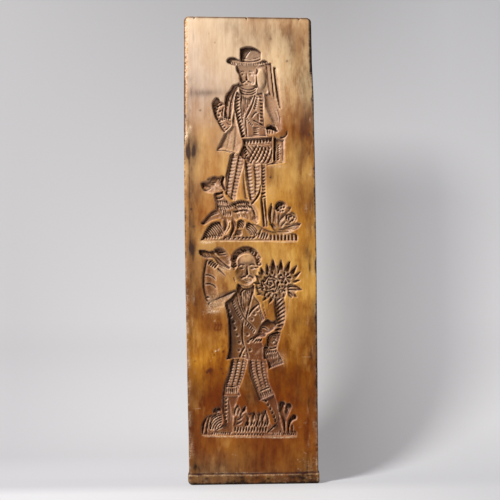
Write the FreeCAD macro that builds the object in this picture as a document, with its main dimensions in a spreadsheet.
import FreeCAD, Part
import Sketcher
import math
import os

doc = FreeCAD.newDocument("gingerbread_mould")

# Driving sizes of the mould, in millimetres; slopes and shares are plain ratios
sheet = doc.addObject("Spreadsheet::Sheet", "Sizes")
sizes = [
    ("board_length", 620),
    ("top_slope", 4.5),
    ("waist_width", 175),
    ("top_width", 169.5),
    ("low_width", 171.5),
    ("waist_high", 315),
    ("board_thick", 27),
    ("foot_width", 174),
    ("foot_high", 14),
    ("foot_proud", 3),
    ("foot_round", 5.5),
    ("top_round", 4.5),
    ("arris_left", 4.5),
    ("arris_right", 3.6),
    ("arris_left_start", 464),
    ("arris_right_start", 545),
    ("arris_run_out", 12),
    ("notch_wide", 3.4),
    ("notch_down", 6),
    ("notch_gap", 69.6),
    ("notch_shift", -1.5),
    ("figure_shift", 0.5),
    ("hunter_ground", 322),
    ("hunter_high", 258),
    ("suitor_ground", 64),
    ("suitor_high", 251),
    ("wall_slope", 0.3),
    ("hat_deep", 6),
    ("brim_deep", 4.3),
    ("head_deep", 6.2),
    ("coat_deep", 5.6),
    ("arm_deep", 4.9),
    ("flap_deep", 4.4),
    ("leg_deep", 2.7),
    ("stripe_deep", 1.9),
    ("boot_deep", 4.7),
    ("animal_deep", 5.8),
    ("plant_deep", 3.1),
    ("ground_deep", 2.5),
    ("line_wide", 1.9),
    ("line_deep", 1.2),
    ("chip_wide", 2.3),
    ("chip_deep", 1.3),
    ("leaf_wide", 3.4),
    ("leaf_deep", 3.2),
    ("button_round", 2.1),
    ("button_deep", 1.7),
    ("stripe_pitch", 4.5),
    ("comb_pitch", 3.3),
    ("blade_pitch", 3.7),
]
for row_number, (name, value) in enumerate(sizes, start=1):
    sheet.set("A%d" % row_number, name)
    sheet.set("B%d" % row_number, str(value))
    sheet.setAlias("B%d" % row_number, name)
doc.recompute()


def size(name):
    return float(sheet.get(name))


def origin_plane(body, role):
    return [item for item in body.Origin.OriginFeatures if item.Role == role][0]


def closed_lines(sketch, corners):
    """Straight lines round a list of corners, joined end to end."""
    first = sketch.GeometryCount
    for here, there in zip(corners, corners[1:] + corners[:1]):
        start = FreeCAD.Vector(here[0], here[1], 0)
        end = FreeCAD.Vector(there[0], there[1], 0)
        sketch.addGeometry(Part.LineSegment(start, end), False)
    count = len(corners)
    for index in range(count):
        after = first + (index + 1) % count
        sketch.addConstraint(Sketcher.Constraint("Coincident", first + index, 2, after, 1))


# Blank: a long plank with slightly bellied sides, sawn a little out of square at the top
blank = doc.addObject("PartDesign::Body", "Blank")
front_view = blank.newObject("Sketcher::SketchObject", "FrontOutline")
front_view.AttachmentSupport = (origin_plane(blank, "XZ_Plane"), [""])
front_view.MapMode = "FlatFace"
front_view.setExpression("AttachmentOffset.Base.z", "-(Sizes.board_thick + Sizes.foot_proud) / 2")
half_low = size("low_width") / 2
half_waist = size("waist_width") / 2
half_top = size("top_width") / 2
high_left = size("board_length") + size("top_slope") / 2
high_right = size("board_length") - size("top_slope") / 2
top_round = size("top_round")
closed_lines(front_view, [
    (-half_low, size("foot_high") / 2),
    (half_low, size("foot_high") / 2),
    (half_waist, size("waist_high")),
    (half_top, high_right - top_round),
    (half_top - top_round * 0.35, high_right - top_round * 0.35),
    (half_top - top_round, high_right),
    (-half_top + top_round, high_left),
    (-half_top + top_round * 0.35, high_left - top_round * 0.35),
    (-half_top, high_left - top_round),
    (-half_waist, size("waist_high")),
])
plank = blank.newObject("PartDesign::Pad", "Plank")
plank.Profile = front_view
plank.setExpression("Length", "Sizes.board_thick")

# Foot: a band left standing proud of the face along the bottom end, wider by a hair
foot_view = blank.newObject("Sketcher::SketchObject", "FootOutline")
foot_view.AttachmentSupport = (origin_plane(blank, "XZ_Plane"), [""])
foot_view.MapMode = "FlatFace"
foot_view.setExpression("AttachmentOffset.Base.z", "-(Sizes.board_thick + Sizes.foot_proud) / 2")
half_foot = size("foot_width") / 2
foot_round = size("foot_round")
closed_lines(foot_view, [
    (-half_foot + foot_round, 0),
    (half_foot - foot_round * 0.35, 0),
    (half_foot, foot_round * 0.35),
    (half_foot, size("foot_high")),
    (-half_foot, size("foot_high")),
    (-half_foot, foot_round),
    (-half_foot + foot_round * 0.3, foot_round * 0.3),
])
foot = blank.newObject("PartDesign::Pad", "Foot")
foot.Profile = foot_view
foot.setExpression("Length", "Sizes.board_thick + Sizes.foot_proud")
blank.Tip = foot
doc.recompute()

face = (size("foot_proud") - size("board_thick")) / 2
slope = size("wall_slope")
over = 1.4


def spot(x, z, down):
    """Point at a place on the front and a depth below the face."""
    return FreeCAD.Vector(x, face + down, z)


def facet(corners):
    return Part.Face(Part.makePolygon(corners + corners[:1]))


def skin_between(ring, after):
    """Flat four-sided or three-sided facets between two rings of as many points."""
    facets = []
    turned = ring[1:] + ring[:1]
    turned_after = after[1:] + after[:1]
    for one, two, three, four in zip(ring, turned, turned_after, after):
        lift = (two - one).cross(four - one).dot(three - one)
        if abs(lift) < 1e-7:
            facets.append(facet([one, two, three, four]))
        else:
            facets.append(facet([one, two, three]))
            facets.append(facet([one, three, four]))
    return facets


def cutter(rings):
    """Closed solid through a run of rings, with a flat facet over each end."""
    facets = [facet(rings[0]), facet(rings[-1])]
    for ring, after in zip(rings, rings[1:]):
        facets += skin_between(ring, after)
    solid = Part.Solid(Part.Shell(facets))
    if solid.Volume < 0:
        solid.reverse()
    return solid


def counter_clockwise(points):
    area = 0
    for (x1, z1), (x2, z2) in zip(points, points[1:] + points[:1]):
        area += x1 * z2 - x2 * z1
    return points if area > 0 else points[::-1]


def inset(points, gap):
    """Outline moved inwards by gap, each side staying parallel to itself."""
    moved = []
    count = len(points)
    for index in range(count):
        before, here, after = points[index - 1], points[index], points[(index + 1) % count]
        first = math.atan2(here[1] - before[1], here[0] - before[0])
        second = math.atan2(after[1] - here[1], after[0] - here[0])
        half_turn = (second - first) / 2
        aim = first + half_turn + math.pi / 2
        reach = gap / math.cos(half_turn)
        moved.append((here[0] + reach * math.cos(aim), here[1] + reach * math.sin(aim)))
    return moved


def hollow(points, depth, steps=1):
    """Cutter for a flat-floored hollow with leaning walls; two steps round its floor off."""
    points = counter_clockwise(points)
    rings = [[spot(x, z, -over) for x, z in inset(points, -slope * over)]]
    if steps == 2:
        rings.append([spot(x, z, depth * 0.62) for x, z in inset(points, slope * depth * 0.62)])
        floor = inset(points, slope * depth * 0.62 + depth * 0.3)
    else:
        floor = inset(points, slope * depth)
    rings.append([spot(x, z, depth) for x, z in floor])
    return cutter(rings)


def headings(path):
    """Direction of a path at each of its points."""
    found = []
    for index in range(len(path)):
        before = path[max(index - 1, 0)]
        after = path[min(index + 1, len(path) - 1)]
        found.append(math.atan2(after[1] - before[1], after[0] - before[0]))
    return found


def channel(path, halves, depths, level=0, section=((-0.7, 0.72), (0, 1), (0.7, 0.72))):
    """Cutter for a scooped channel along a path, open upwards to above the face."""
    rings = []
    for (x, z), heading, half, depth in zip(path, headings(path), halves, depths):
        side_x = -math.sin(heading)
        side_z = math.cos(heading)
        lip = half * (1 + 0.12 / depth)
        across = [(-lip, -over), (-lip, level - 0.2)]
        across += [(share * half, level + down * depth) for share, down in section]
        across += [(lip, level - 0.2), (lip, -over)]
        rings.append([spot(x + side_x * a, z + side_z * a, d) for a, d in across])
    return cutter(rings)


def groove(path, wide, depth, level=0):
    """Cutter for a V-shaped line that runs out to a point at both ends."""
    count = len(path)
    shares = [1.0] * count
    shares[0] = 0.25
    shares[-1] = 0.25
    halves = [wide / 2 * share for share in shares]
    depths = [depth * share for share in shares]
    return channel(path, halves, depths, level, section=((0, 1),))


def chip(x, z, long, wide, depth, turn, level):
    """Cutter for one stroke of a V gouge: four facets that meet in one deep point."""
    lift = (depth + 0.2) / depth
    way = math.radians(turn)
    corners = []
    for along, across in ((0.5, 0), (0, 0.5), (-0.5, 0), (0, -0.5)):
        step_along = along * long * lift
        step_across = across * wide * lift
        at_x = x + step_along * math.cos(way) - step_across * math.sin(way)
        at_z = z + step_along * math.sin(way) + step_across * math.cos(way)
        corners.append((at_x, at_z))
    low = [spot(at_x, at_z, level - 0.2) for at_x, at_z in corners]
    high = [spot(at_x, at_z, -over) for at_x, at_z in corners]
    deep = spot(x, z, level + depth)
    facets = [facet(high)] + skin_between(low, high)
    for here, there in zip(low, low[1:] + low[:1]):
        facets.append(facet([here, there, deep]))
    solid = Part.Solid(Part.Shell(facets))
    if solid.Volume < 0:
        solid.reverse()
    return solid


def band(x, z, long, wide, depth, turn, level):
    """Cutter for one cross rib of a stocking: two long facets down to a line, two short ends."""
    way = math.radians(turn)
    lip = 1 + 0.2 / depth

    def turned(along, across, down):
        return spot(x + along * math.cos(way) - across * math.sin(way),
                    z + along * math.sin(way) + across * math.cos(way), down)

    half_long = long / 2
    half_wide = wide / 2 * lip
    corners = [(half_long, half_wide), (-half_long, half_wide), (-half_long, -half_wide),
               (half_long, -half_wide)]
    high = [turned(a, b, -over) for a, b in corners]
    low = [turned(a, b, level - 0.2) for a, b in corners]
    left = turned(-half_long + depth * 0.6, 0, level + depth)
    right = turned(half_long - depth * 0.6, 0, level + depth)
    facets = [facet(high)] + skin_between(low, high)
    facets.append(facet([low[0], low[1], left, right]))
    facets.append(facet([low[1], low[2], left]))
    facets.append(facet([low[2], low[3], right, left]))
    facets.append(facet([low[3], low[0], right]))
    solid = Part.Solid(Part.Shell(facets))
    if solid.Volume < 0:
        solid.reverse()
    return solid


def band_row(path, pitch, long, wide, depth, turn, level):
    """Cross ribs set a pitch apart along a path and turned from its direction."""
    return [band(x, z, long, wide, depth, heading + turn, level)
            for x, z, heading in walk(path, pitch)]


def pit(x, z, across, depth, level, sides=6):
    """Cutter for a small round pit with a narrower floor."""
    rings = []
    for share, down in ((1.06, -over), (1.06, level - 0.2), (0.5, level + depth)):
        ring = []
        for index in range(sides):
            way = 2 * math.pi * (index + 0.5) / sides
            ring.append(spot(x + share * across * math.cos(way),
                             z + share * across * math.sin(way), down))
        rings.append(ring)
    return cutter(rings)


def walk(path, pitch):
    """Places a pitch apart along a path, each with the path's direction there in degrees."""
    places = []
    left = pitch / 2
    for (x1, z1), (x2, z2) in zip(path, path[1:]):
        run = math.hypot(x2 - x1, z2 - z1)
        heading = math.degrees(math.atan2(z2 - z1, x2 - x1))
        while left < run:
            share = left / run
            places.append((x1 + (x2 - x1) * share, z1 + (z2 - z1) * share, heading))
            left += pitch
        left -= run
    return places


def chip_row(path, pitch, long, wide, depth, turn, level):
    """Strokes set a pitch apart along a path and turned from its direction."""
    strokes = []
    for x, z, heading in walk(path, pitch):
        strokes.append(chip(x, z, long, wide, depth, heading + turn, level))
    return strokes


def pattern(ground, drawn_ground, scale):
    """Map from the drawn pattern to the board, growing from the figure's ground line."""
    shift = size("figure_shift")

    def laid(points):
        return [(shift + u * scale, ground + (w - drawn_ground) * scale) for u, w in points]

    return laid


line_wide = size("line_wide")
line_deep = size("line_deep")
chip_wide = size("chip_wide")
chip_deep = size("chip_deep")
leaf_wide = size("leaf_wide")
leaf_deep = size("leaf_deep")
hat_deep = size("hat_deep")
brim_deep = size("brim_deep")
head_deep = size("head_deep")
coat_deep = size("coat_deep")
arm_deep = size("arm_deep")
flap_deep = size("flap_deep")
leg_deep = size("leg_deep")
stripe_deep = size("stripe_deep")
boot_deep = size("boot_deep")
animal_deep = size("animal_deep")
plant_deep = size("plant_deep")
ground_deep = size("ground_deep")
button_round = size("button_round")
button_deep = size("button_deep")
stripe_pitch = size("stripe_pitch")
comb_pitch = size("comb_pitch")
blade_pitch = size("blade_pitch")


def leaf(path, wide, depth, level=0):
    """A pointed leaf: widest a third of the way along its path."""
    count = len(path)
    shares = [0.2 + 0.8 * math.sin(math.pi * min(1, (i + 0.15) / (count - 0.7))) for i in range(count)]
    halves = [max(wide / 2 * share, 0.25) for share in shares]
    depths = [max(depth * share, 0.4) for share in shares]
    return channel(path, halves, depths, level, section=((0, 1),))


# Hunter: hollows for the hat, head, coat, arms, bag, trousers and dog
hunter_scale = size("hunter_high") / 258
hunter = pattern(size("hunter_ground"), 322, hunter_scale)
hunter_hollows = [
    hollow(hunter([(-11.3, 564), (3, 561), (17.2, 565), (16.8, 574), (12, 577.6), (5, 580),
                   (-4, 580), (-10.5, 577.5)]), hat_deep, 2),
    hollow(hunter([(-28.7, 562), (-27, 565), (-23, 566.8), (-18, 566.5), (-10, 563), (3, 560.6),
                   (15, 562), (23, 562), (26.4, 560), (20, 557.6), (7, 555), (-5, 554.8),
                   (-17, 555.2), (-27, 558.7)]), brim_deep),
    hollow(hunter([(-17, 556), (-16.5, 549), (-13, 543), (-12.6, 537), (-10.4, 531), (-5, 527.6),
                   (1, 526.6), (6, 529), (8.6, 534), (9.4, 541), (13, 547), (13.6, 556)]),
           head_deep),
    hollow(hunter([(-12.5, 531.5), (-12, 517), (0, 512.5), (10, 517.5), (10.6, 529)]),
           arm_deep - 0.4),
    hollow(hunter([(-17, 520), (-20, 503), (-18.4, 492), (-14.6, 475), (-10.8, 459.6),
                   (22, 461.6), (22, 470), (20, 478), (19.4, 500), (20.4, 512), (18.4, 521),
                   (9, 519), (-1, 514), (-11, 518.6)]), coat_deep),
    hollow(hunter([(-12, 533.5), (-21, 529.6), (-24.5, 523.6), (-30.6, 516.8), (-31.8, 510),
                   (-33, 500), (-33.6, 486.5), (-24.2, 483), (-21.4, 498), (-17.6, 518),
                   (-11.6, 527)]), arm_deep),
    hollow(hunter([(-49, 506), (-46.6, 511), (-43, 513.9), (-39.4, 512.4), (-36, 508), (-31.5, 506),
                   (-33, 497), (-33, 487), (-24, 483.5), (-23.4, 476), (-33, 466.4), (-37, 471),
                   (-42, 481), (-46, 488.6), (-48, 497)]), arm_deep + 0.3),
    hollow(hunter([(18, 519.6), (24, 519), (31, 516), (37, 511), (40, 502), (43, 488), (44, 476),
                   (41.6, 467.4), (33, 464), (24, 462), (21, 465), (21.6, 472), (25, 475.7),
                   (31, 476), (29, 483), (24, 493), (20.4, 501), (19, 512)]), arm_deep - 0.2),
    hollow(hunter([(-19.6, 499), (-24.4, 481), (-24, 476.4), (-30, 470.6), (-33.2, 466.6),
                   (-43.8, 443.2), (-36, 444), (-15, 438.7), (-9.4, 450.6), (-10.2, 460),
                   (-13.6, 475), (-17, 491)]), flap_deep),
    hollow(hunter([(-9.8, 458.6), (30.6, 460.4), (30, 427.4), (22, 424.4), (14, 425), (2, 425.4),
                   (-6, 429), (-14.4, 437.4), (-9, 449.6)]), coat_deep - 0.9),
    hollow(hunter([(33.4, 461.6), (38, 458.6), (46.6, 457.6), (47, 426), (22.4, 422), (22.4, 426.4),
                   (30.6, 429), (32, 447)]), flap_deep + 0.3),
    hollow(hunter([(-25.8, 437.8), (-29.6, 421), (-32.6, 408), (-33.4, 393), (-30, 383),
                   (-26, 379.4), (-19.4, 378.6), (-15.6, 400), (-9.4, 420), (-7.4, 431),
                   (-14, 438.4)]), leg_deep),
    hollow(hunter([(-7.6, 430), (-6.6, 415), (-5.6, 400), (-1.6, 380), (3, 375), (8, 381),
                   (13, 393), (14, 402), (14.2, 421), (14.4, 427), (2, 427.4)]), leg_deep + 0.2),
    hollow(hunter([(14.8, 425.6), (20.8, 424.6), (20.2, 380), (14.6, 380)]), plant_deep),
    hollow(hunter([(-65.4, 400), (-61, 402.4), (-56, 403.8), (-49, 409.7), (-41, 409), (-36, 410),
                   (-32.4, 405), (-32, 392), (-36, 387), (-44, 385), (-53, 386.6), (-60, 388.2),
                   (-64, 393)]), animal_deep),
    hollow(hunter([(-48.4, 387), (-36, 389), (-32.6, 381), (-25.6, 374.6), (-14, 377.2), (-3, 376),
                   (3, 373.6), (6.4, 367), (8.8, 357.6), (7.6, 349.4), (1.6, 352), (-8, 353.4),
                   (-13, 356), (-19.6, 350.4), (-27.4, 350), (-38, 350.4), (-42, 357), (-46.2, 364),
                   (-46.4, 372)]), animal_deep - 0.5, 2),
    hollow(hunter([(-45.6, 365.6), (-53, 361.4), (-61, 352.8), (-66, 347.4), (-62.4, 344.4),
                   (-52, 350), (-39, 354.4), (-38, 362)]), arm_deep - 0.6),
    hollow(hunter([(32.6, 366), (34.4, 371.4), (40, 375), (46, 373), (48.2, 368.4), (47, 363),
                   (41, 360.4), (34.6, 361.4)]), boot_deep),
    hollow(hunter([(45.6, 355.4), (48, 358), (54, 359.4), (60, 356), (62, 350), (58, 344.6),
                   (49, 343.6), (45, 348.6)]), plant_deep),
    hollow(hunter([(-65.4, 325.6), (-60.4, 337), (-53.4, 345.6), (-46, 349), (-40.4, 348.4),
                   (-38, 343), (-36, 336), (-37, 327)]), plant_deep + 0.3),
    hollow(hunter([(-66.6, 324.2), (-30, 323.6), (61.6, 321.8), (59.6, 331.4), (34, 334),
                   (20, 338), (16, 340.4), (4, 346), (-6, 342), (-8, 349.6), (-15, 351),
                   (-18.4, 346), (-20, 333), (-40, 330.4), (-60.4, 332.4)]), ground_deep),
]
hunter_channels = [
    channel(hunter([(28.6, 554), (29.6, 535), (30.6, 514.6)]), [3.3, 3.0, 2.7], [3.3, 3.3, 3.0]),
    channel(hunter([(34.4, 547.6), (36.6, 528), (41, 505)]), [2.1, 2.0, 1.7], [2.7, 2.6, 2.2]),
    channel(hunter([(2.6, 373), (8.4, 380), (12.4, 387.6), (13.7, 395.6)]),
            [1.4, 1.7, 1.7, 1.1], [4.4, 4.4, 4.2, 3.4]),
    channel(hunter([(-33, 353), (-33, 342), (-38, 331)]), [3.4, 2.8, 2.2], [4.7, 4.5, 4.1]),
    channel(hunter([(-24, 353), (-22.6, 342), (-26.4, 330)]), [3.2, 2.6, 2.1], [4.6, 4.4, 4.0]),
    leaf(hunter([(-33, 392), (-36, 396), (-38, 402), (-36, 408)]), 5.4, 1.7, animal_deep),
    leaf(hunter([(41, 459.2), (46, 460), (50.4, 463.6)]), leaf_wide, leaf_deep),
    leaf(hunter([(27.8, 346.6), (27.2, 360), (28.4, 372)]), leaf_wide, leaf_deep),
    leaf(hunter([(37.4, 339.6), (40, 350), (46, 357.6), (54.6, 365.4)]), leaf_wide, leaf_deep),
    leaf(hunter([(38.4, 339), (44, 343), (48.6, 347)]), leaf_wide * 0.7, leaf_deep * 0.8),
    leaf(hunter([(40, 339.4), (53, 341), (66.8, 344.2)]), leaf_wide, leaf_deep),
    leaf(hunter([(37, 336.4), (50, 337.4), (62.4, 339)]), leaf_wide * 0.7, leaf_deep * 0.8),
    leaf(hunter([(35, 333.4), (48, 333.6), (60, 335.4)]), leaf_wide * 0.7, leaf_deep * 0.8),
    groove(hunter([(33, 361), (32.4, 346)]), line_wide, leaf_deep * 0.6),
    groove(hunter([(38.6, 360), (37, 349)]), line_wide, leaf_deep * 0.6),
    groove(hunter([(15, 378), (16.6, 360), (18.6, 340)]), line_wide, leaf_deep * 0.7),
    groove(hunter([(19.2, 378), (20.2, 362), (22.2, 346)]), line_wide, leaf_deep * 0.6),
]
hunter_legs = [
    hunter([(-20.6, 433.6), (-25, 413), (-28.4, 394)]),
    hunter([(-13, 431.6), (-17.4, 410), (-22.4, 385)]),
    hunter([(-2.6, 424), (-0.2, 404), (2.4, 384)]),
    hunter([(8, 424), (9.4, 404), (8.2, 390)]),
]
hunter_stripes = []
for strip in hunter_legs:
    hunter_stripes += band_row(strip, stripe_pitch, 5.9, stripe_pitch * 0.86, stripe_deep, 90, leg_deep)

# Hunter: gouge strokes for his face, clothes, straps and the dog's coat
coat_row = hunter([(-14.4, 513), (-14.8, 503), (-13.6, 490), (-11.4, 476), (-8.4, 462)])
hunter_strokes = hunter_stripes
hunter_strokes += chip_row(hunter([(-23, 560.6), (-12, 558.2), (0, 557.6), (12, 558.2), (21, 559.6)]),
                           comb_pitch, 3, line_wide, chip_deep, 90, brim_deep)
hunter_strokes += chip_row(coat_row, comb_pitch, 4.8, line_wide, chip_deep, 102, coat_deep)
hunter_strokes += chip_row(hunter([(16, 514), (16.6, 500), (16, 479)]), comb_pitch, 3.8, line_wide,
                           chip_deep, 75, coat_deep)
hunter_strokes += chip_row(hunter([(-4, 488), (0, 481), (5, 475)]), comb_pitch, 4.2, line_wide,
                           chip_deep, 112, coat_deep)
hunter_strokes += chip_row(hunter([(8.6, 474), (8.6, 463)]), blade_pitch, 7, line_wide,
                           line_deep, 92, coat_deep)
hunter_strokes += chip_row(hunter([(-8, 454.8), (30, 456.4)]), stripe_pitch, 5.2, line_wide,
                           chip_deep, 90, coat_deep - 0.9)
hunter_strokes += chip_row(hunter([(-6, 448), (-4.4, 440), (-1, 432)]), stripe_pitch, 4.6,
                           chip_wide, chip_deep, 125, coat_deep - 0.9)
hunter_strokes += chip_row(hunter([(38.4, 450), (38, 428)]), stripe_pitch, 5, chip_wide,
                           chip_deep, 130, flap_deep + 0.3)
hunter_strokes += chip_row(hunter([(17.8, 421), (17.4, 390)]), stripe_pitch, 3.2, chip_wide,
                           chip_deep, 90, plant_deep)
for step in range(6):
    at = hunter([(3.4 + 4.4 * step, 441.6 - 1.3 * step)])[0]
    hunter_strokes.append(chip(at[0], at[1], 15, line_wide, chip_deep, 51, coat_deep - 0.9))
for turn, places in ((0, [(-7.4, 544), (1.8, 543.6)]), (18, [(-5.6, 533.6)]), (-18, [(0.2, 533.6)])):
    for at in hunter(places):
        hunter_strokes.append(chip(at[0], at[1], 4.4, 1.9, 0.9, turn, head_deep))
for x, z, long, wide, deep, turn, level in (
        (-2.8, 539.6, 8.6, 4.2, 1.9, 90, head_deep),
        (-2.6, 530.4, 4.4, 1.5, 0.8, 0, head_deep),
        (-7.6, 547.4, 5.8, 1.3, 0.8, 8, head_deep),
        (2.2, 547.2, 5.8, 1.3, 0.8, -8, head_deep),
        (11, 548.6, 6, 2.4, 1.6, 70, head_deep - 1),
        (24.2, 468.4, 6, 1.9, 1.2, 84, arm_deep - 0.2),
        (27.4, 467.6, 6, 1.9, 1.2, 90, arm_deep - 0.2),
        (30.6, 467.4, 6, 1.9, 1.2, 96, arm_deep - 0.2)):
    at = hunter([(x, z)])[0]
    hunter_strokes.append(chip(at[0], at[1], long, wide, deep, turn, level))
for path, wide, deep, level in (
        ([(-10.6, 563.6), (-4, 561.6), (4, 561.2), (12, 562.4), (16.6, 564.6)], 2.2, 2.4, brim_deep),
        ([(0, 575), (-3.4, 569), (-6, 564)], line_wide, 1, hat_deep),
        ([(-10, 527), (-5, 524.6), (1, 524), (6, 525.6), (9.4, 528)], line_wide, 1.7, arm_deep - 0.4),
        ([(-11, 523.8), (-4, 520.8), (2, 520.4), (10, 524)], line_wide, 1.7, arm_deep - 0.4),
        ([(-10, 517), (-8.4, 503), (-7, 489)], line_wide, line_deep, coat_deep),
        ([(-4.8, 514.6), (-5.4, 500)], line_wide, line_deep, coat_deep),
        ([(0, 513), (-2.4, 499)], line_wide, line_deep, coat_deep),
        ([(8.8, 517), (4, 503), (-1, 492), (-4.6, 487)], chip_wide, 1.6, coat_deep),
        ([(-4.2, 484), (-4, 474), (-3.4, 460.6)], line_wide, line_deep, coat_deep),
        ([(3.2, 486.4), (6, 491), (11.6, 494)], line_wide, line_deep, coat_deep),
        ([(11.8, 492), (12, 481)], line_wide, line_deep, coat_deep),
        ([(6, 483), (12, 479.6), (18.6, 475)], line_wide, line_deep, coat_deep),
        ([(-9.4, 459.4), (4, 459.6), (21.6, 462)], line_wide, 1.4, coat_deep),
        ([(-27, 468), (-29.6, 457), (-31.6, 447)], line_wide, 1, flap_deep),
        ([(-19.6, 469), (-22, 456), (-24, 445)], line_wide, 1, flap_deep),
        ([(-14.6, 466), (-16.4, 455), (-18.4, 444)], line_wide, 1, flap_deep),
        ([(-27.4, 516), (-29.6, 503), (-30, 490)], line_wide, line_deep, arm_deep),
        ([(-21.4, 516), (-24.8, 501), (-26, 488)], line_wide, line_deep, arm_deep),
        ([(-42, 505.6), (-38.6, 507.4), (-34, 505)], line_wide, line_deep, arm_deep + 0.3),
        ([(-31, 470.6), (-25.6, 475.4)], line_wide, line_deep, arm_deep),
        ([(26.6, 508), (31, 495), (36, 483)], line_wide, line_deep, arm_deep - 0.2),
        ([(32.4, 507), (36.4, 495), (39.6, 481)], line_wide, line_deep, arm_deep - 0.2),
        ([(23.4, 474), (27, 475), (32, 474), (37, 470.6)], line_wide, 1.8, arm_deep - 0.2),
        ([(-60.6, 391.6), (-56, 391.4), (-52, 393.6)], line_wide, 1, animal_deep),
        ([(-46, 387.4), (-41, 387), (-36.6, 389)], line_wide, 2, animal_deep - 0.5),
        ([(-46, 380.6), (-41, 380.6), (-35.6, 383.4)], line_wide, 2, animal_deep - 0.5)):
    hunter_strokes.append(groove(hunter(path), wide, deep, level))
hunter_strokes += chip_row(hunter([(-39.6, 485), (-26, 486)]), comb_pitch, 4.4, line_wide,
                           chip_deep, 72, arm_deep)
for row_path, turn in (([(-42, 370), (-30, 367.6), (-22, 370.4), (-4, 371)], -62),
                       ([(-36, 359.4), (-24, 359), (-14, 362.6), (4, 364)], -70)):
    hunter_strokes += chip_row(hunter(row_path), comb_pitch * 1.15, 4.8, line_wide,
                               chip_deep, turn, animal_deep - 0.6)
for x, z in hunter([(-42.6, 498), (-38.4, 496.4), (-44.6, 493.6), (-40.6, 490.4)]):
    hunter_strokes.append(pit(x, z, 1.2, 1.1, arm_deep + 0.3))
for x, z in hunter([(-48, 398.4)]):
    hunter_strokes.append(pit(x, z, 1.4, 1.1, animal_deep))

# Hunter's ground: mound, clumps of grass, comb of blades and two flowers
hunter_strokes += chip_row(hunter([(-58, 336.6), (-52.6, 341.6), (-46, 343.6), (-40, 342)]),
                           comb_pitch, 8, line_wide, chip_deep, 78, plant_deep + 0.3)
hunter_strokes += chip_row(hunter([(-58, 329.8), (-42, 330.6)]), blade_pitch, 6.4, line_wide,
                           line_deep, 84, plant_deep + 0.2)
hunter_strokes += chip_row(hunter([(27, 327.2), (57.6, 326.6)]), stripe_pitch + 0.4, 7.6, chip_wide,
                           chip_deep, 90, ground_deep)
hunter_strokes += chip_row(hunter([(-9, 326.6), (24, 325.8)]), stripe_pitch, 4.4,
                           line_wide, chip_deep, 60, ground_deep)
for x, z in hunter([(-40, 334), (-15, 334.4)]):
    hunter_strokes.append(pit(x, z, 3.1, 1.6, ground_deep))
for step in range(4):
    path = [(-6 + 3.4 * step, 335 - 1.6 * step), (-3.6 + 3.4 * step, 340 - 1.6 * step),
            (1 + 3.4 * step, 343.6 - 1.8 * step)]
    hunter_strokes.append(leaf(hunter(path), chip_wide, 1.8, ground_deep))
for path in ([(-17, 338.6), (-17, 345), (-13.8, 349.4)], [(-14.4, 340), (-12.6, 345), (-9.6, 348)],
             [(7, 330), (11, 334), (15, 340)]):
    hunter_strokes.append(leaf(hunter(path), chip_wide, 1.8, ground_deep))
for step in range(6):
    way = math.radians(60 * step + 20)
    at = hunter([(40.6 + 3.6 * math.cos(way), 367.8 + 3.6 * math.sin(way))])[0]
    hunter_strokes.append(chip(at[0], at[1], 5, chip_wide, chip_deep, 60 * step + 20, boot_deep))
    at = hunter([(53.2 + 4.2 * math.cos(way), 351.2 + 4.2 * math.sin(way))])[0]
    hunter_strokes.append(chip(at[0], at[1], 5, chip_wide, chip_deep, 60 * step + 20, plant_deep))

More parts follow.
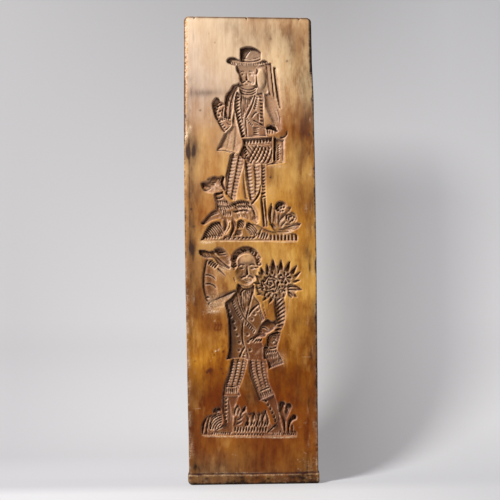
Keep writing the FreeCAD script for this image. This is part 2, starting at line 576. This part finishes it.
# Suitor: hollows for the raised hat, arms, head, jacket, posy, breeches and boots
suitor_scale = size("suitor_high") / 251
suitor = pattern(size("suitor_ground"), 64, suitor_scale)
suitor_hollows = [
    hollow(suitor([(-69, 311.4), (-62, 311.4), (-55, 309.6), (-49, 310.4), (-44, 303), (-28.4, 289),
                   (-29.4, 285.6), (-43, 291.4), (-50, 300), (-60, 300.4), (-67.6, 305)]), brim_deep),
    hollow(suitor([(-51, 309.6), (-48.4, 313.4), (-43, 315), (-37, 313.6), (-31.6, 309.4),
                   (-27.4, 301), (-26.6, 292), (-31, 289.6), (-40, 298), (-46.4, 303.4)]),
           hat_deep, 2),
    hollow(suitor([(-60.6, 297), (-62.4, 285), (-63, 268), (-60.4, 252), (-58, 241), (-52, 233),
                   (-40, 234), (-33, 237.6), (-28, 243), (-20, 250), (-19, 259.4), (-30, 256.6),
                   (-38, 255.4), (-44, 253), (-45.4, 262), (-46, 275), (-48, 286), (-44, 291),
                   (-47, 297), (-54, 300)]), arm_deep),
    hollow(suitor([(-18, 304), (-20.8, 290), (-21.2, 280), (-19, 271), (-14, 264.4), (-8, 262),
                   (0, 264.4), (6, 270), (9.6, 280), (10.2, 290), (7, 301), (0, 308), (-9, 308.6)]),
           head_deep - 1.2, 2),
    hollow(suitor([(-20, 257), (-28, 247.4), (-35.6, 240.4), (-33, 228), (-31.4, 214), (-31, 190),
                   (-31.6, 177), (-34.6, 165.4), (-18, 166.6), (-5, 164.4), (14, 162.6),
                   (14.6, 180), (10, 198), (13, 212), (17.4, 219), (12.6, 231), (10.4, 241),
                   (4, 250), (4, 264), (-2, 261.6), (-10, 260.6), (-17.6, 266)]), coat_deep - 0.4),
    hollow(suitor([(5.4, 199.6), (9.4, 209.4), (16, 216.4), (21, 218.6), (27, 216), (31.6, 218),
                   (31.8, 208), (25, 201.6), (20, 199), (12, 195.6)]), coat_deep + 0.8),
    hollow(suitor([(13.6, 275.4), (20, 279.6), (30, 281), (44, 280.6), (52.4, 276), (50, 268),
                   (48, 260), (44.4, 252), (40, 244), (33, 240), (27, 246), (16, 248.4),
                   (8, 253.4), (5.4, 263), (11, 269)]), plant_deep + 0.8),
    hollow(suitor([(47.6, 261), (53, 264.6), (62.4, 259.6), (58.6, 249), (51, 248.4)]), plant_deep),
    hollow(suitor([(19.6, 191.6), (22.4, 197), (29, 200.6), (38.4, 200.8), (35.6, 190), (33.4, 182),
                   (34, 175), (40.4, 162), (40.8, 159.6), (21.6, 152.4), (18.8, 163.6),
                   (14.8, 166), (14.4, 179), (18.6, 186)]), arm_deep - 0.5),
    hollow(suitor([(-28.4, 164.6), (-31.6, 150), (-36, 138), (-38.6, 129.4), (-40.4, 117.6),
                   (-18, 117.2), (-19, 125), (-13.4, 140), (-9, 153), (-7.4, 165.4),
                   (-17, 167.4)]), leg_deep),
    hollow(suitor([(-4.6, 165.2), (-4.6, 147), (0, 133.6), (4, 122), (8.4, 110.4), (17, 113.6),
                   (28.4, 118.6), (24, 127.4), (20.6, 138), (19.4, 150), (18.6, 163.4)]),
           leg_deep + 0.2),
    hollow(suitor([(-40.4, 118.2), (-41.6, 106), (-40.6, 90), (-38.8, 81), (-52.4, 71.4),
                   (-50, 66.6), (-28, 66.8), (-26.6, 80), (-25.4, 94), (-21.6, 108),
                   (-18.4, 118)]), boot_deep),
    hollow(suitor([(8.6, 111), (17, 106.6), (22.6, 97), (27, 86), (29, 79.4), (23, 72.6), (17, 66),
                   (42, 65.2), (38, 78), (35.6, 92), (32, 106), (28.2, 119.2), (17, 114)]),
           boot_deep - 0.3),
    hollow(suitor([(-60.4, 90), (-52, 93), (-43, 95.6), (-40, 88), (-42, 79), (-53, 71), (-61, 69)]),
           plant_deep - 0.4),
    hollow(suitor([(-66.6, 65.8), (-20, 64.2), (57, 63), (56, 69.6), (40, 70), (24, 80), (19, 92),
                   (16.6, 98.6), (8, 94.4), (0, 96.4), (-8, 95), (-9.4, 104), (-19.6, 106),
                   (-24.6, 100), (-26.4, 80), (-40, 73), (-62, 72)]), ground_deep),
]
suitor_channels = [
    channel(suitor([(-22, 293), (-22.4, 301), (-17.6, 308), (-8.6, 311.6), (0, 310.8), (6.4, 305.6),
                    (9, 299), (8, 291)]), [2.6, 3.6, 3.6, 3.7, 3.6, 3.4, 3.2, 2.2], [6.4] * 8),
    channel(suitor([(36.4, 246), (38.4, 235), (38.6, 223), (37.4, 212), (33.4, 202)]),
            [6.2, 6.4, 6.0, 5.2, 3.6], [4.8, 5.2, 5.2, 4.8, 3.8]),
    channel(suitor([(38.6, 104.6), (37.4, 96), (41, 86), (41.4, 66)]), [4.2, 3.4, 1.3, 1.1],
            [4.2, 3.8, 2.6, 2.2]),
    channel(suitor([(46.8, 102.4), (43.4, 92), (42, 84)]), [4.0, 2.8, 1.2], [4.2, 3.4, 2.4]),
    channel(suitor([(54, 87.8), (49, 83.4), (46.6, 75), (46.6, 66)]), [2.8, 1.8, 1.1, 1.0],
            [3.6, 2.8, 2.4, 2.2]),
    groove(suitor([(51.2, 79), (51.4, 65)]), line_wide, leaf_deep * 0.7),
    leaf(suitor([(-60, 91.4), (-65.8, 80), (-67.4, 65.6)]), leaf_wide, leaf_deep),
    leaf(suitor([(-57.6, 90), (-61, 80), (-62.2, 66)]), leaf_wide * 0.8, leaf_deep),
    pit(suitor([(-47.6, 98)])[0][0], suitor([(-47.6, 98)])[0][1], 4.4, 4.2, 0),
]
posy_leaves = [
    ([(18.4, 274), (15.6, 281), (13.4, 287)], 6),
    ([(21.4, 277), (21.6, 285), (22.2, 292)], 4.4),
    ([(28, 284), (28, 291), (29.2, 297.6)], 4.8),
    ([(36.6, 283), (38, 290), (40.4, 296.4)], 4.6),
    ([(44.6, 283), (47.6, 289), (51.6, 295.4)], 4.2),
    ([(50.4, 279.6), (55, 284.6), (60.8, 289.8)], 5.2),
    ([(51, 277.4), (57, 279.6), (64.6, 281)], 3.6),
    ([(49, 273.6), (56, 272.4), (63, 270.6)], 2.6),
    ([(14.6, 276), (9.6, 278), (4.6, 279)], 3.6),
    ([(15, 270.4), (9, 268.4), (3.4, 266.6)], 2.6),
    ([(35, 248), (32.6, 243), (29.6, 238.6)], 5.4),
    ([(43.6, 258), (43.8, 253), (41, 245)], 3.6),
]
for path, wide in posy_leaves:
    suitor_channels.append(leaf(suitor(path), wide, leaf_deep + 0.9))
suitor_legs = [
    suitor([(-24.4, 161), (-28, 146), (-32.6, 131.6)]),
    suitor([(-18, 161), (-21.4, 146), (-25.8, 131.6)]),
    suitor([(-11.8, 160), (-15, 146), (-19.4, 133)]),
    suitor([(-0.6, 160), (1.2, 145), (6.4, 127)]),
    suitor([(6.4, 160), (8, 145), (12.4, 128.6)]),
    suitor([(13.4, 160), (14.6, 146), (17.8, 131)]),
]
suitor_stripes = []
for strip in suitor_legs:
    suitor_stripes += band_row(strip, stripe_pitch, 5.3, stripe_pitch * 0.86, stripe_deep, 86, leg_deep)

# Suitor: gouge strokes for his face, curls, shirt, buttons, straps, posy and grass
suitor_strokes = suitor_stripes
for x, z in suitor([(-33.4, 238), (-30.8, 230.6), (-28, 222.8), (-24.6, 215), (-22.6, 206.6),
                    (-19.8, 198), (-17, 188), (-17.4, 177.4), (8.4, 231), (3.6, 226),
                    (0.4, 218.4), (-5.6, 198.4), (-2.6, 177.4)]):
    suitor_strokes.append(pit(x, z, button_round, button_deep, coat_deep - 0.4))
for x, z, long, wide, deep, turn, level in (
        (-5.6, 281.6, 11, 4.8, 1.9, 90, head_deep - 1.2),
        (-12.4, 286, 5, 2.1, 0.9, 0, head_deep - 1.2),
        (1.4, 286, 5, 2.1, 0.9, 0, head_deep - 1.2),
        (-12.6, 290.4, 7, 1.5, 0.8, 8, head_deep - 1.2),
        (1.6, 290.4, 7, 1.5, 0.8, -8, head_deep - 1.2),
        (-9.8, 274.6, 7.4, 2.5, 1.3, 14, head_deep - 1.2),
        (-1.6, 274.6, 7.4, 2.5, 1.3, -14, head_deep - 1.2),
        (-5.6, 270, 5.4, 1.6, 0.8, 0, head_deep - 1.2),
        (-21.6, 296.4, 7, 2.3, 1.4, 52, 6), (-17.4, 300.6, 6, 2.1, 1.2, 60, 6),
        (10, 298.6, 7, 2.3, 1.4, 42, 5.4), (8, 292.6, 5, 2.3, 1.3, 20, 5.4),
        (-12.4, 310.6, 5.4, 2, 1.2, 30, 6.2), (-3.6, 311.8, 5.4, 2, 1.2, 0, 6.2),
        (4, 308.4, 5.4, 2, 1.2, -40, 6),
        (-56.6, 296.6, 8.4, 2.2, 1.7, 40, brim_deep), (-53, 294.2, 8.4, 2.2, 1.7, 38, arm_deep),
        (-48.6, 292, 8, 2.2, 1.7, 36, arm_deep), (-47, 288.4, 8, 2.2, 1.7, 34, arm_deep)):
    at = suitor([(x, z)])[0]
    suitor_strokes.append(chip(at[0], at[1], long, wide, deep, turn, level))
for path, wide, deep, level in (
        ([(-43, 308.6), (-39, 308), (-34.6, 308.6)], line_wide, 1.2, hat_deep),
        ([(-44, 304.6), (-39, 304.6), (-33, 305)], line_wide, 1.2, hat_deep),
        ([(-44.6, 299.6), (-37, 292.6), (-31, 287.6)], line_wide, 1.2, brim_deep),
        ([(-44.4, 286.6), (-38.6, 281), (-33, 275)], chip_wide, 2.2, 0.3),
        ([(-42.6, 289.6), (-36, 286.4), (-30, 283)], line_wide, 1.8, 0.3),
        ([(-23.6, 275.4), (-22, 271), (-20.8, 266.4)], line_wide, 1.4, 0.3),
        ([(-60.6, 278), (-55, 277), (-50.4, 275), (-47.4, 272)], line_wide, 1.5, arm_deep),
        ([(-61, 266), (-55, 266.2), (-50, 264.2), (-46.6, 260.4)], line_wide, 1.5, arm_deep),
        ([(-15, 264.6), (-9, 261.6), (-2, 262.6), (4, 267), (14, 271)], chip_wide, 1.8, coat_deep - 0.4),
        ([(-9, 259), (-13, 255), (-14.4, 249)], chip_wide, 1.4, coat_deep - 0.4),
        ([(-9.6, 254), (-12, 246), (-11.6, 234)], line_wide, line_deep, coat_deep - 0.4),
        ([(-5.6, 257), (-8.6, 246), (-9, 230)], line_wide, line_deep, coat_deep - 0.4),
        ([(-1.6, 258), (-4.6, 246), (-6.4, 232)], line_wide, line_deep, coat_deep - 0.4),
        ([(3, 259), (0.4, 250), (-2.4, 240), (-5.4, 228), (-7.4, 217.4)], chip_wide, 1.5, coat_deep - 0.4),
        ([(-20, 252), (-17, 239), (-13, 228), (-9.4, 220), (-3, 212.6), (5, 205)],
         line_wide, 1.4, coat_deep - 0.4),
        ([(-4.8, 222.6), (-2, 229), (3, 234.4), (9.4, 238.6)], chip_wide, 1.8, coat_deep - 0.4),
        ([(-26.6, 244), (-20, 229), (-12.4, 215)], line_wide, line_deep, coat_deep - 0.4),
        ([(-11, 217), (-12.6, 208), (-12.4, 190), (-9.6, 182)], chip_wide, 1.6, coat_deep - 0.4),
        ([(-9.8, 181), (-14, 175), (-17, 167.6)], chip_wide, 2, coat_deep - 0.4),
        ([(-8.6, 180), (-6.4, 173), (-5.6, 166)], line_wide, line_deep, coat_deep - 0.4),
        ([(12, 207), (17, 206.6), (22, 203.6)], line_wide, 1.1, coat_deep + 0.8),
        ([(20.4, 191), (22, 196), (28, 199.4), (37, 200)], chip_wide, 2.2, arm_deep - 0.5),
        ([(15, 179.4), (20, 181), (26, 179.6), (32.6, 181.4)], chip_wide, 1.8, arm_deep - 0.5),
        ([(33.6, 175), (36, 170), (38.8, 163.6)], line_wide, 1.4, arm_deep - 0.5),
        ([(17.6, 262), (22, 259.4), (28, 258.4), (34, 261), (37.6, 266)], line_wide, 1.5, plant_deep + 0.8),
        ([(12, 257.4), (18, 255.6), (26, 254), (33, 255.4), (39, 260)], line_wide, 1.5, plant_deep + 0.8),
        ([(19, 272), (24, 274.6), (30, 274), (34, 271)], line_wide, 1.5, plant_deep + 0.8),
        ([(17.6, 269), (18.6, 265), (22, 262.6)], line_wide, 1.5, plant_deep + 0.8),
        ([(28, 265), (31.6, 266.6), (33, 270)], line_wide, 1.5, plant_deep + 0.8),
        ([(21.4, 270), (24.6, 271.6), (28.4, 270.4)], line_wide, 1.4, plant_deep + 0.8),
        ([(-52, 71.4), (-45.6, 74), (-40.6, 79)], line_wide, 1.6, boot_deep),
        ([(-35, 129.6), (-21.6, 130)], line_wide, 1.8, leg_deep + 1),
        ([(9.4, 122.8), (22, 127.4)], line_wide, 1.8, leg_deep + 1),
        ([(-17, 71), (-15, 82), (-17, 92)], line_wide, 1, ground_deep)):
    suitor_strokes.append(groove(suitor(path), wide, deep, level))
suitor_strokes += chip_row(suitor([(-24.4, 241), (-18.6, 229), (-12.6, 219.6)]), stripe_pitch, 4,
                           line_wide, chip_deep, 125, coat_deep - 0.4)
suitor_strokes += chip_row(suitor([(-4.4, 209.4), (2.6, 202)]), comb_pitch, 4.4, line_wide,
                           chip_deep, 110, coat_deep - 0.4)
suitor_strokes += chip_row(suitor([(-2.4, 193.6), (3, 188.4), (11.4, 188.6)]), comb_pitch, 7,
                           line_wide, 1.6, 62, coat_deep - 0.4)
suitor_strokes += chip_row(suitor([(37.6, 246), (38.8, 235), (38.8, 223), (37.4, 212), (35, 204.6)]),
                           stripe_pitch + 0.3, 10.4, chip_wide, 1.5, 128, arm_deep + 0.1)
suitor_strokes += chip_row(suitor([(30, 196), (28.4, 185)]), stripe_pitch, 7, line_wide, chip_deep,
                           84, arm_deep - 0.5)
suitor_strokes += chip_row(suitor([(19, 169), (31, 172)]), stripe_pitch, 7, line_wide, chip_deep,
                           66, arm_deep - 0.5)
suitor_strokes += chip_row(suitor([(23, 158), (37, 163.4)]), stripe_pitch, 5.4, line_wide, chip_deep,
                           76, arm_deep - 0.5)
suitor_strokes += chip_row(suitor([(-35.6, 124), (-20, 124)]), comb_pitch, 7, line_wide, chip_deep,
                           90, leg_deep)
suitor_strokes += chip_row(suitor([(10, 117), (24.6, 122)]), comb_pitch, 6.4, line_wide, chip_deep,
                           86, leg_deep + 0.2)
for line, level in (([(-36.2, 115), (-36.6, 100), (-37.4, 82)], boot_deep),
                    ([(16.6, 110), (22, 100), (26.6, 89), (28.6, 82)], boot_deep - 0.3)):
    for x, z, heading in walk(suitor(line), stripe_pitch + 0.4):
        suitor_strokes.append(pit(x + 1.2, z, 1.5, 1.3, level))
for step in range(8):
    way = math.radians(45 * step + 12)
    at = suitor([(44.6 + 4.4 * math.cos(way), 271.6 + 4.4 * math.sin(way))])[0]
    suitor_strokes.append(chip(at[0], at[1], 6, line_wide, chip_deep, 45 * step + 12, plant_deep + 0.8))
for x, z, long, turn in ((18, 251.4, 5, 84), (24, 250.6, 5, 20), (29, 249, 6, 84), (37.6, 252.4, 7, 66),
                         (55, 258, 9, -25), (54, 253.4, 7, -18)):
    at = suitor([(x, z)])[0]
    suitor_strokes.append(chip(at[0], at[1], long, line_wide, chip_deep, turn, plant_deep + 0.5))
suitor_strokes += chip_row(suitor([(-57.6, 85.6), (-42.6, 89)]), comb_pitch, 6, line_wide, chip_deep,
                           28, plant_deep - 0.4)
suitor_strokes += chip_row(suitor([(-57, 77), (-45, 80)]), comb_pitch, 5.6, line_wide, chip_deep,
                           28, plant_deep - 0.4)
for x, z, long, turn in ((-22.8, 95.4, 13, 76), (-18, 100, 8, 110), (-12.6, 98, 11, 62), (-16, 90.6, 7, 50),
                         (-7.8, 82, 12, 80), (0.8, 90.4, 11, 78), (7.6, 89, 11, 96), (14.6, 91.4, 12, 66),
                         (17.8, 85.6, 9, 100), (-21.6, 82.4, 6, 10), (-18.6, 78, 6, -8)):
    at = suitor([(x, z)])[0]
    suitor_strokes.append(chip(at[0], at[1], long, chip_wide + 0.4, chip_deep + 0.6, turn, ground_deep))
suitor_strokes += chip_row(suitor([(-12, 76.4), (16, 76)]), blade_pitch, 6, line_wide, chip_deep,
                           72, ground_deep)
suitor_strokes += chip_row(suitor([(-25, 67.2), (15.4, 66.8)]), comb_pitch, 4.2, line_wide, chip_deep,
                           78, ground_deep)

# Edges: both upper arrises hewn away and three notches cut in the top
middle_high = size("board_length")


def edge_at(z, side):
    """Place of the board's side edge at a height; side is -1 at the left and 1 at the right."""
    waist = size("waist_high")
    top = high_left if side < 0 else high_right
    share = (z - waist) / (top - size("top_round") - waist)
    return side * (half_waist + (half_top - half_waist) * share)


def hewn_arris(start, cut, side):
    """Cutter that takes an arris off from a height to the top and runs out below."""
    rings = []
    for z, reach in ((start - size("arris_run_out"), -0.6), (start, cut * 0.8),
                     (start + size("arris_run_out"), cut), (middle_high + 12, cut * 1.06)):
        edge = edge_at(z, side)
        rings.append([spot(edge - side * (reach + 2.5), z, -2.5),
                      spot(edge + side * 2.5, z, reach + 2.5),
                      spot(edge + side * 5, z, -5)])
    return cutter(rings)


border_cuts = [
    hewn_arris(size("arris_left_start"), size("arris_left"), -1),
    hewn_arris(size("arris_right_start"), size("arris_right"), 1),
]
for step in (-1, 0, 1):
    x = size("notch_shift") + step * size("notch_gap")
    top = middle_high - x / (2 * half_top) * size("top_slope")
    half = size("notch_wide") / 2
    border_cuts.append(channel([(x, top - size("notch_down")), (x, top + 2)], [0.4, half * 1.2],
                               [0.5, half * 1.5], 0, section=((0, 1),)))

# The board, cut in the order a carver works: outlines first, finest strokes last
board = blank.Shape
for cutters in (hunter_hollows, suitor_hollows, border_cuts, hunter_channels, suitor_channels,
                hunter_strokes, suitor_strokes):
    board = board.cut(cutters)
node = doc.addObject("Part::Feature", "MouldBoard")
node.Label = "mould_board"
node.Shape = board.Solids[0]
doc.recompute()
for item in doc.Objects:
    if "Invalid" in item.State or "Error" in item.State:
        raise RuntimeError(item.Name + " did not recompute")
if node.Shape.isNull() or not node.Shape.isValid():
    raise RuntimeError("the board is not a valid solid")
os.makedirs("parts", exist_ok=True)
node.Shape.exportStep("parts/mould_board.step")
